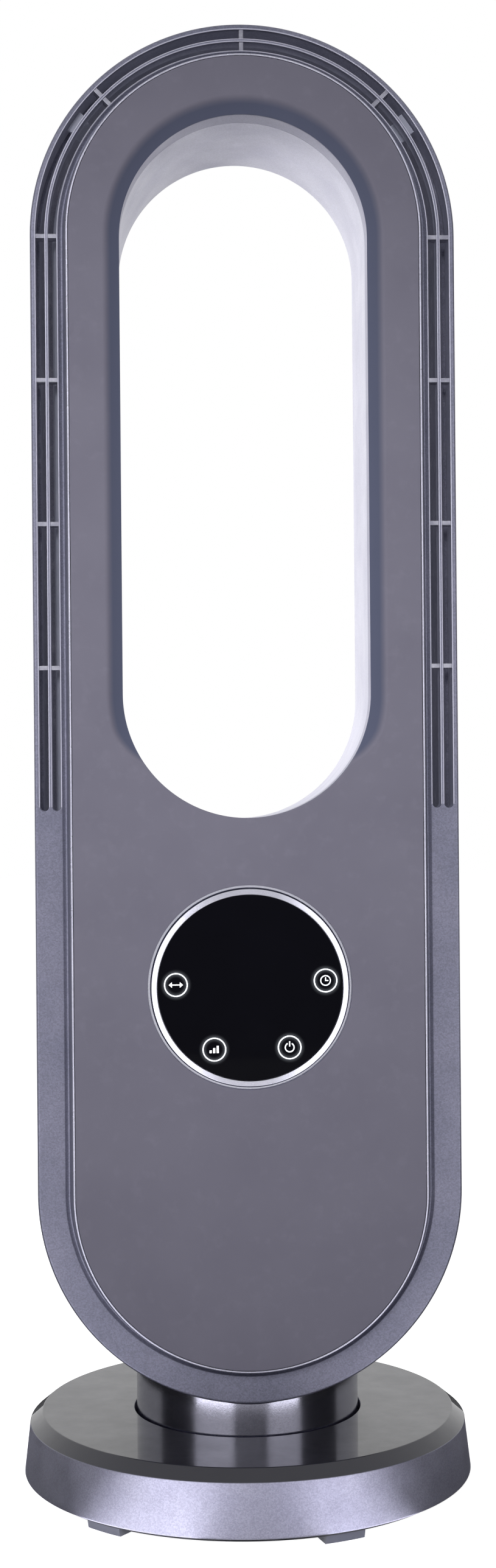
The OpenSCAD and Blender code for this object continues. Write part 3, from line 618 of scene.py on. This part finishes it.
# across the band, and how far it falls
bandDrop = [(0, 0), (0.8, 0.12), (1.6, 0.5), (2.4, 1.05), (3.4, 1.82), (4.4, 2.6), (5.5, 3.42),
            (6.7, 4.28), (8, 5.18), (9.2, 6.0)]
loopLip = trimHigh[0] - panelParts["lipIn"]


def dropAt(run):
    for (u0, w0), (u1, w1) in zip(bandDrop, bandDrop[1:]):
        if run <= u1:
            return w0 + (w1 - w0) * (run - u0) / (u1 - u0)
    return bandDrop[-1][1]


def bandWidth(cz, c, s):
    # how far out from the lip the ridge lies, along the outward direction
    p = panelParts
    ridge = loopLip + p["band"]
    if s >= 0 or cz > loopLowArc + 0.01:
        return p["band"]
    low, high = 0.0, p["mostBand"]
    cornerX = ridge - p["cornerRadius"]

    def inside(r):
        x, z = abs(r * c), cz + r * s
        if x > ridge:
            return False
        if z >= p["cornerZ"]:
            return True
        if x <= cornerX:
            return z > p["cornerZ"] - p["cornerRadius"]
        return math.hypot(x - cornerX, z - p["cornerZ"]) < p["cornerRadius"]

    if not inside(loopLip):
        return p["leastBand"]
    for _ in range(30):
        mid = (low + high) / 2
        if inside(loopLip + mid):
            low = mid
        else:
            high = mid
    return max(p["leastBand"], min(p["band"], low))


def buildFrontPanel():
    p = panelParts
    bm = bmesh.new()
    stations = ringStations(lowArc, topArc, *casingSteps)
    e = p["edge"]
    back = panelFace - p["thick"]
    outer = [ringLoop(bm, stations, r, v)
             for r, v in arcPoints(panelRim - e, panelFace - e, e, 90, 0, 4)
             + [(panelRim, back)]]
    bridgeAll(bm, outer)
    loopStations = ringStations(loopLowArc, loopTopArc, *loopSteps)
    widths = [bandWidth(*st) for st in loopStations]
    rows = []
    for k in range(p["bandSteps"] + 1):
        share = 1 - k / p["bandSteps"]
        radii = [loopLip + w * share for w in widths]
        fall = [panelFace - dropAt(w * (1 - share)) for w in widths]
        rows.append(ringLoop(bm, loopStations, radii, fall))
    edgeV = [panelFace - dropAt(w) for w in widths]
    lipBack = panelFace - p["lipDrop"] - p["lipBack"]
    rows.append(ringLoop(bm, loopStations, loopLip + p["seam"],
                         [v - p["seamDrop"] for v in edgeV]))
    for out, drop in lipLine:
        rows.append(ringLoop(bm, loopStations, loopLip + out, lipBack - drop))
    rows.append(ringLoop(bm, loopStations, loopLip + p["ribOut"], panelFace - p["ribDrop"]))
    rows.append(ringLoop(bm, loopStations, loopLip + p["backOut"], back))
    bridgeAll(bm, rows)
    hole = [(p["controlHole"] + out, panelFace - drop) for out, drop in holeLine]
    rim = turned(bm, hole + [(p["controlHole"], back)], onDisc, p["holeSteps"],
                 closed=False)
    fillFlat(bm, [outer[0], rows[0], rim[0]])
    fillFlat(bm, [outer[-1], rows[-1], rim[-1]])
    makePiece("frontPanel", bm, looks["panelMatte"], "head", ["front_panel"])


buildFrontPanel()
print("front panel made")


# loop lip and liner

linerParts = dict(gap=0.06, lipStart=69.0, lipSlope=2.2, seam=53.45, trimRoot=0.24,
                  trimWall=2.0, flare=1.6, wall=2.4, backV=-34.0)


def buildLoop():
    p = linerParts
    stations = ringStations(loopLowArc, loopTopArc, *loopSteps)
    bm = bmesh.new()
    lip = loopLip + p["gap"]
    inner = lip + p["trimRoot"]
    sweepRing(bm, stations, roundedSection([
        (lip, p["lipStart"], 0.1), (lip + p["trimWall"], p["lipStart"] - p["lipSlope"], 0.2),
        (lip + p["trimWall"] + 0.1, p["seam"] + 0.2, 0.2), (inner, p["seam"] + 0.2, 0.35)]))
    makePiece("loopTrim", bm, looks["trimSatin"], "head", ["loop_trim"])
    bm = bmesh.new()
    out = loopLip + p["flare"]
    sweepRing(bm, stations, roundedSection([
        (inner + 0.12, p["seam"] - 0.15, 0.35), (inner + p["trimWall"], p["seam"] - 0.15, 0.2),
        (out + p["wall"], p["backV"] + 4, 0.3), (out + p["wall"], p["backV"], 0.9),
        (out, p["backV"], 1.2)], 6))
    makePiece("loopLiner", bm, looks["linerSatin"], "head", ["loop_liner"])


buildLoop()
print("loop lip and liner made")


# touch disc: bright ring, black glass, printed rings and pictograms

discParts = dict(ringOuter=54.0, ringInner=50.35, ringFront=77.0, flangeFront=73.2, flange=58.0,
                 back=70.0, seat=48.2, seatFront=71.8, glass=50.05, glassFront=76.2,
                 glassBack=72.0, glassEdge=0.35, glassDrop=0.42, glassCrown=0.06, steps=180)
# out from the ring's rim, back from its front, corner radius: its outer slope
ringLine = [(-0.9, 0.58, 0.3), (-0.1, 2.6, 0.2)]
touchSpots = dict(swing=(-40.0, 2.0), timer=(40.7, 3.4), speed=(-19.6, -33.0),
                  power=(21.0, -32.4))
touchRing = dict(radius=6.1, stroke=0.66, lift=0.15, sink=0.02)
# bars are left, low, right and high; an arrow tip is its point, its heel and its half width
touchSigns = dict(arrowBar=(-2.6, -0.3, 2.6, 0.3), arrowTip=(3.9, 2.1, 1.5), bars=3,
                  barLeft=-2.6, barPitch=1.9, barWidth=1.2, barLow=-1.9, barHigh=-0.4,
                  barRise=1.2, powerRing=(2.05, 2.7), powerArc=(118, 422), powerSteps=40,
                  powerBar=(-0.33, 0.5, 0.33, 3.3), clockRing=(2.3, 2.9), clockSteps=48,
                  longHand=(-0.3, -0.3, 0.3, 1.7), shortHand=(0.34, -0.3, 1.5, 0.3))


def buildBrightRing():
    p = discParts
    bm = bmesh.new()
    front, outer = p["ringFront"], p["ringOuter"]
    section = [(p["ringInner"], front - 0.05, 0.12)]
    section += [(outer + out, front - drop, radius) for out, drop, radius in ringLine]
    section += [(outer, p["flangeFront"], 0), (p["flange"], p["flangeFront"], 0.2),
                (p["flange"], p["back"], 0.2), (p["seat"], p["back"], 0.2),
                (p["seat"], p["seatFront"], 0.2), (p["ringInner"], p["seatFront"], 0)]
    turned(bm, roundedSection(section), onDisc, p["steps"])
    makePiece("brightRing", bm, looks["brightRing"], "head", ["control_bezel"])


glassLook = dict(smearScale=45.0, smear=(0.4, 0.75), rough=(0.03, 0.1), color="04040a",
                 shade="07070f", shine=0.06, haloFrom=0.3, haloTo=2.6, halo=0.16,
                 haloColor=(3.2, 3.4, 3.8, 1))


def glassFinish():
    # black glass whose print throws a faint glow round each ring
    p = glassLook
    material, tree, shader = newMaterial("touchGlass")
    place = objectPlace(tree)
    smear = node(tree, "ShaderNodeTexNoise", Scale=p["smearScale"], Detail=4.0)
    tree.links.new(place, smear.inputs["Vector"])
    tree.links.new(mapRange(tree, smear.outputs["Fac"], *p["smear"], *p["rough"]),
                   shader.inputs["Roughness"])
    tree.links.new(mixColor(tree, smear.outputs["Fac"], rgb(p["color"]), rgb(p["shade"])),
                   shader.inputs["Base Color"])
    shader.inputs["Specular IOR Level"].default_value = p["shine"]
    halos = []
    for x, z in touchSpots.values():
        spot = Vector(onDisc(x, z, discParts["glassFront"])) * mm
        off = mathNode(tree, "ABSOLUTE", mathNode(
            tree, "SUBTRACT", measure(tree, "DISTANCE", place, spot), touchRing["radius"] * mm))
        halo = mapRange(tree, off, p["haloFrom"] * mm, p["haloTo"] * mm, p["halo"], 0)
        halos.append(mathNode(tree, "POWER", halo, 2))
    tree.links.new(mixColor(tree, combine(tree, "ADD", halos), (0, 0, 0, 1), p["haloColor"]),
                   shader.inputs["Emission Color"])
    shader.inputs["Emission Strength"].default_value = 1.0
    return material


def buildGlass():
    p = discParts
    bm = bmesh.new()
    front, edge = p["glassFront"], p["glassEdge"]
    crown = [(p["glass"] * k / 6, front - p["glassCrown"] * (k / 6) ** 2) for k in range(1, 6)]
    rim = arcPoints(p["glass"] - edge, front - p["glassDrop"], edge, 90, 0, 4)
    loops = turned(bm, crown + rim + [(p["glass"], p["glassBack"])], onDisc, p["steps"],
                   closed=False)
    for loop, along in ((loops[0], front), (loops[-1], p["glassBack"])):
        middle = bm.verts.new((0, -along * mm, discZ * mm))
        for a, b in zip(loop, loop[1:] + loop[:1]):
            bm.faces.new((a, b, middle))
    makePiece("touchGlass", bm, glassFinish(), "head", ["control_glass"])


def flatSign(bm, outline, centre, front, lift):
    # closed outline raised by lift, with a slightly drawn-in top edge
    cx, cz = centre
    gx = sum(x for x, _ in outline) / len(outline)
    gz = sum(z for _, z in outline) / len(outline)
    rows = []
    for shrink, v in ((1.0, front), (1.0, front + lift * 0.6), (0.96, front + lift)):
        rows.append(addLoop(bm, [(cx + gx + (x - gx) * shrink, -v, cz + gz + (z - gz) * shrink)
                                 for x, z in outline]))
    bridgeAll(bm, rows)
    fillFlat(bm, [rows[-1]])
    fillFlat(bm, [rows[0]])


def ringSign(bm, centre, inner, outer, front, lift, fromDeg=0, toDeg=360, steps=64):
    cx, cz = centre
    full = toDeg - fromDeg >= 360
    mid = (inner + outer) / 2
    rows = []
    for r, v in ((inner, front), (inner, front + lift * 0.5), (inner + 0.12, front + lift),
                 (mid, front + lift), (outer - 0.12, front + lift), (outer, front + lift * 0.5),
                 (outer, front)):
        count = steps if full else steps + 1
        rows.append(addLoop(bm, [
            (cx + r * cos(math.radians(fromDeg + (toDeg - fromDeg) * i / steps)), -v,
             cz + r * sin(math.radians(fromDeg + (toDeg - fromDeg) * i / steps)))
            for i in range(count)]))
    bridgeAll(bm, rows + rows[:1], closed=full)
    if not full:
        bm.faces.new([row[0] for row in rows])
        bm.faces.new([row[-1] for row in reversed(rows)])


def bar2d(x0, z0, x1, z1):
    return [(x0, z0), (x1, z0), (x1, z1), (x0, z1)]


def buildTouchPrint():
    bm = bmesh.new()
    front = discParts["glassFront"] - touchRing["sink"]
    lift = touchRing["lift"]
    half = touchRing["stroke"] / 2

    def disc(name):
        return touchSpots[name][0], discZ + touchSpots[name][1]

    for name in touchSpots:
        ringSign(bm, disc(name), touchRing["radius"] - half, touchRing["radius"] + half, front,
                 lift)
    p = touchSigns
    flatSign(bm, bar2d(*p["arrowBar"]), disc("swing"), front, lift)
    point, heel, half = p["arrowTip"]
    for side in (-1, 1):
        flatSign(bm, [(side * point, 0), (side * heel, half), (side * heel, -half)],
                 disc("swing"), front, lift)
    for k in range(p["bars"]):
        x = p["barLeft"] + p["barPitch"] * k
        flatSign(bm, bar2d(x, p["barLow"], x + p["barWidth"], p["barHigh"] + p["barRise"] * k),
                 disc("speed"), front, lift)
    ringSign(bm, disc("power"), *p["powerRing"], front, lift, *p["powerArc"], p["powerSteps"])
    flatSign(bm, bar2d(*p["powerBar"]), disc("power"), front, lift)
    ringSign(bm, disc("timer"), *p["clockRing"], front, lift, 0, 360, p["clockSteps"])
    flatSign(bm, bar2d(*p["longHand"]), disc("timer"), front, lift)
    flatSign(bm, bar2d(*p["shortHand"]), disc("timer"), front, lift)
    makePiece("touchPrint", bm, looks["iconPrint"], "head", ["touch_icons"])


buildBrightRing()
buildGlass()
buildTouchPrint()
print("touch disc made")


# neck

neckParts = dict(radius=halfWidth("neck_collar"), wall=2.5, foot=30.0, fit=0.3, edge=0.3,
                 steps=192)


def buildNeck():
    p = neckParts
    bm = bmesh.new()
    cut = bodyHalf + p["fit"]

    def topAt(x):
        return lowArc - math.sqrt(cut * cut - x * x)

    loops = []
    outer, inner, soft = p["radius"], p["radius"] - p["wall"], p["radius"] - p["edge"]
    section = [(soft, 0.0), (outer, 0.01)] + [(outer, 0.1 * k) for k in range(1, 10)]
    section += [(outer, 0.99), (soft, 1.0), (inner, 1.0), (inner, 0.5), (inner, 0.0)]
    for r, share in section:
        points = []
        for k in range(p["steps"]):
            a = 2 * pi * k / p["steps"]
            x, y = r * cos(a), r * sin(a)
            points.append((x, y, p["foot"] + (topAt(x) - p["foot"]) * share))
        loops.append(addLoop(bm, points))
    bridgeAll(bm, loops + loops[:1])
    makePiece("neckCollar", bm, looks["neckSatin"], "head", ["neck_collar"])


buildNeck()
print("neck made")


# round base: glossy cover and its feet

baseParts = dict(holeRadius=64.6, flatRadius=116.8, flatZ=41.6, bevelRadius=123.9, bevelZ=35.8,
                 rimRadius=halfWidth("base_cover"), rimZ=7.5, wall=2.7, collar=7.0, steps=256)
footParts = dict(middles=(47.5, 112.5, 170, 227.5, 292.5, 350), spread=11, inner=106, outer=120,
                 toe=121, overlap=1.0, steps=12)


def buildBase():
    p = baseParts
    bm = bmesh.new()
    hole, flat, wall = p["holeRadius"], p["flatZ"], p["wall"]
    section = roundedSection([
        (hole, flat - p["collar"], 0), (hole, flat, 0.6), (p["flatRadius"], flat, 1.2),
        (p["bevelRadius"], p["bevelZ"], 0.9), (p["rimRadius"], p["rimZ"], 0.8),
        (p["rimRadius"] - 3, p["rimZ"], 0.3), (p["bevelRadius"] - 2.6, p["bevelZ"] - 1.6, 0.5),
        (p["flatRadius"] - 1, flat - wall, 0.5), (hole + 2, flat - wall, 0.3),
        (hole + 2, flat - p["collar"], 0)], 6)
    turned(bm, section, lambda x, y, along: (x, y, along), p["steps"])
    makePiece("baseCover", bm, looks["baseLacquer"], "base", ["base_cover"])


def buildFeet():
    p = footParts
    top = boxOf("rubber_feet")[1][2] + p["overlap"]
    section = roundedSection([(p["inner"], 0.0, 0.8), (p["outer"], 0.0, 0.8),
                              (p["toe"], top, 0.2), (p["inner"], top, 0.2)], 3)
    bm = bmesh.new()
    for middle in p["middles"]:
        rings = []
        for k in range(p["steps"] + 1):
            a = math.radians(middle - p["spread"] / 2 + p["spread"] * k / p["steps"])
            rings.append(addLoop(bm, [(r * cos(a), r * sin(a), z) for r, z in section]))
        bridgeAll(bm, rings)
        bm.faces.new(rings[0])
        bm.faces.new(list(reversed(rings[-1])))
    makePiece("footPads", bm, looks["footGrey"], "base", ["rubber_feet"])


buildBase()
buildFeet()
print("base made")


# stage, light and camera, in metres

studio = dict(floorSize=16.0, floorColor=(0.86, 0.86, 0.88, 1), floorRough=0.9, floorShine=0.1,
              floorGlow=0.96, airDiffuse=0.05)
lamps = {
    # power in watts, beam in degrees
    "keyLight": dict(place=(-0.38, -1.62, 1.05), aim=(0, 0, 0.42), width=0.7, height=0.55,
                     power=2.0, beam=40),
    "fillLight": dict(place=(1.1, -1.35, 0.58), aim=(0, 0, 0.48), width=0.5, height=0.45,
                      power=0.16, beam=60),
    "backLight": dict(place=(-1.15, 1.35, 0.5), aim=(0, 0, 0.48), width=1.2, height=0.5,
                      power=10.0, beam=90),
}
cards = {
    # turn in degrees from the front, away from the swing axis, level of light
    "leftCard": dict(turn=-36.6, width=1.37, high=1.6, away=1.8, level=2.8),
    "rightCard": dict(turn=35.0, width=1.15, high=1.6, away=1.8, level=2.6),
    "middleCard": dict(turn=0.0, width=0.9, high=1.6, away=1.95, level=0.7),
    "frontFlag": dict(turn=0.0, width=2.6, high=2.3, away=2.3, level=0.05),
    "leftFlag": dict(turn=-68.0, width=3.0, high=2.3, away=2.3, level=0.05),
    "rightFlag": dict(turn=68.0, width=3.0, high=2.3, away=2.3, level=0.05),
}
cardColor = (0.95, 0.94, 1, 1)
# strips of the mat: from and to, in degrees from the front, and level of light
mat = dict(inner=0.1225, outer=1.3, lift=0.0012, level=0.02, steps=144,
           strips=((-50.5, -15.5, 3.4), (16.5, 46.0, 3.1), (-15.5, 16.5, 0.75)))


def addStage(name, bm, material):
    mesh = bpy.data.meshes.new(name)
    bm.to_mesh(mesh)
    bm.free()
    mesh.shade_smooth()
    mesh.materials.append(material)
    prop = bpy.data.objects.new(name, mesh)
    bpy.context.scene.collection.objects.link(prop)
    return prop


def seenRays(tree):
    # one for the rays that show the background: from the camera, in gloss and through glass
    path = tree.nodes.new("ShaderNodeLightPath")
    return combine(tree, "MAXIMUM", [path.outputs[kind] for kind in
                                   ("Is Camera Ray", "Is Glossy Ray", "Is Transmission Ray")])


def buildFloor():
    bm = bmesh.new()
    half = studio["floorSize"] / 2
    bm.faces.new([bm.verts.new((x * half, y * half, 0))
                  for x, y in ((-1, -1), (1, -1), (1, 1), (-1, 1))])
    material, tree, shader = newMaterial("studioWhite")
    shader.inputs["Base Color"].default_value = studio["floorColor"]
    shader.inputs["Roughness"].default_value = studio["floorRough"]
    shader.inputs["Specular IOR Level"].default_value = studio["floorShine"]
    glow = tree.nodes.new("ShaderNodeEmission")
    tree.links.new(mapRange(tree, seenRays(tree), 0, 1, 0, studio["floorGlow"]),
                   glow.inputs["Strength"])
    both = tree.nodes.new("ShaderNodeAddShader")
    tree.links.new(shader.outputs[0], both.inputs[0])
    tree.links.new(glow.outputs[0], both.inputs[1])
    tree.links.new(both.outputs[0], tree.nodes["Material Output"].inputs["Surface"])
    material.cycles.emission_sampling = "NONE"
    addStage("studioFloor", bm, material)


def glowMaterial(name, level):
    material, tree, shader = newMaterial(name)
    tree.nodes.remove(shader)
    glow = node(tree, "ShaderNodeEmission", Color=cardColor, Strength=level)
    tree.links.new(glow.outputs[0], tree.nodes["Material Output"].inputs["Surface"])
    material.cycles.emission_sampling = "NONE"
    return material


def onlyGloss(prop):
    prop.visible_camera = prop.visible_diffuse = prop.visible_shadow = False


def buildCards():
    # large soft cards and dark flags that only reflections see
    for name, card in cards.items():
        a, half = math.radians(card["turn"]), card["width"] / 2
        middle = Vector((sin(a), -cos(a), 0)) * card["away"]
        side = Vector((cos(a), sin(a), 0)) * half
        top = Vector((0, 0, card["high"]))
        corners = [middle - side, middle + side, middle + side + top, middle - side + top]
        bm = bmesh.new()
        bm.faces.new([bm.verts.new(corner) for corner in corners])
        onlyGloss(addStage(name, bm, glowMaterial(name, card["level"])))


def buildMat():
    # dark mat laid round the foot, with the strips that the neck mirrors; only gloss sees it
    tones = {}
    for k in range(mat["steps"]):
        a0, a1 = (360 * (k + j) / mat["steps"] - 180 for j in (0, 1))
        middle, level = (a0 + a1) / 2, mat["level"]
        for low, high, bright in mat["strips"]:
            if low < middle < high:
                level = bright
        tones.setdefault(level, []).append((math.radians(a0), math.radians(a1)))
    for n, (level, parts) in enumerate(sorted(tones.items())):
        bm = bmesh.new()
        for a0, a1 in parts:
            ring = [(mat["inner"], a0), (mat["outer"], a0), (mat["outer"], a1), (mat["inner"], a1)]
            bm.faces.new([bm.verts.new((r * sin(a), -r * cos(a), mat["lift"])) for r, a in ring])
        name = "footMat" + str(n)
        piece = addStage(name, bm, glowMaterial(name, level))
        onlyGloss(piece)
        piece.visible_transmission = False


def buildLamps():
    for name, spec in lamps.items():
        data = bpy.data.lights.new(name, "AREA")
        data.shape = "RECTANGLE"
        data.size, data.size_y = spec["width"], spec["height"]
        data.energy = spec["power"]
        data.spread = math.radians(spec["beam"])
        lamp = bpy.data.objects.new(name, data)
        lamp.location = spec["place"]
        lamp.visible_glossy = False
        lamp.rotation_mode = "QUATERNION"
        aim = Vector(spec["aim"]) - Vector(spec["place"])
        lamp.rotation_quaternion = aim.to_track_quat("-Z", "Y")
        bpy.context.scene.collection.objects.link(lamp)


def buildAir():
    world = bpy.data.worlds.new("studioAir")
    world.use_nodes = True
    tree = world.node_tree
    back = tree.nodes["Background"]
    back.inputs["Color"].default_value = (1, 1, 1, 1)
    tree.links.new(mapRange(tree, seenRays(tree), 0, 1, studio["airDiffuse"], 1.0),
                   back.inputs["Strength"])
    bpy.context.scene.world = world


# place in millimetres, turn and roll in radians, focal and longSide in picture units
camera = dict(place=(-55.25, -1232.9, 396.7), turn=0.0475, roll=0.0086, focal=3534.2,
              longSide=2576, sensor=36, near=0.05, far=30)


def buildCamera():
    data = bpy.data.cameras.new("camera")
    data.sensor_fit = "AUTO"
    data.sensor_width = camera["sensor"]
    data.lens = camera["sensor"] * camera["focal"] / camera["longSide"]
    data.clip_start, data.clip_end = camera["near"], camera["far"]
    body = bpy.data.objects.new("camera", data)
    bpy.context.scene.collection.objects.link(body)
    yaw, roll = camera["turn"], camera["roll"]
    forward = Vector((sin(yaw), cos(yaw), 0))
    side = Vector((cos(yaw), -sin(yaw), 0))
    up = Vector((0, 0, 1))
    right = side * cos(roll) - up * sin(roll)
    above = side * sin(roll) + up * cos(roll)
    turn = Matrix((right, above, -forward)).transposed().to_4x4()
    body.matrix_world = Matrix.Translation(Vector(camera["place"]) * mm) @ turn
    bpy.context.scene.camera = body


buildFloor()
buildCards()
buildMat()
buildLamps()
buildAir()
buildCamera()
bpy.context.scene.view_settings.view_transform = "Standard"
print("stage made")
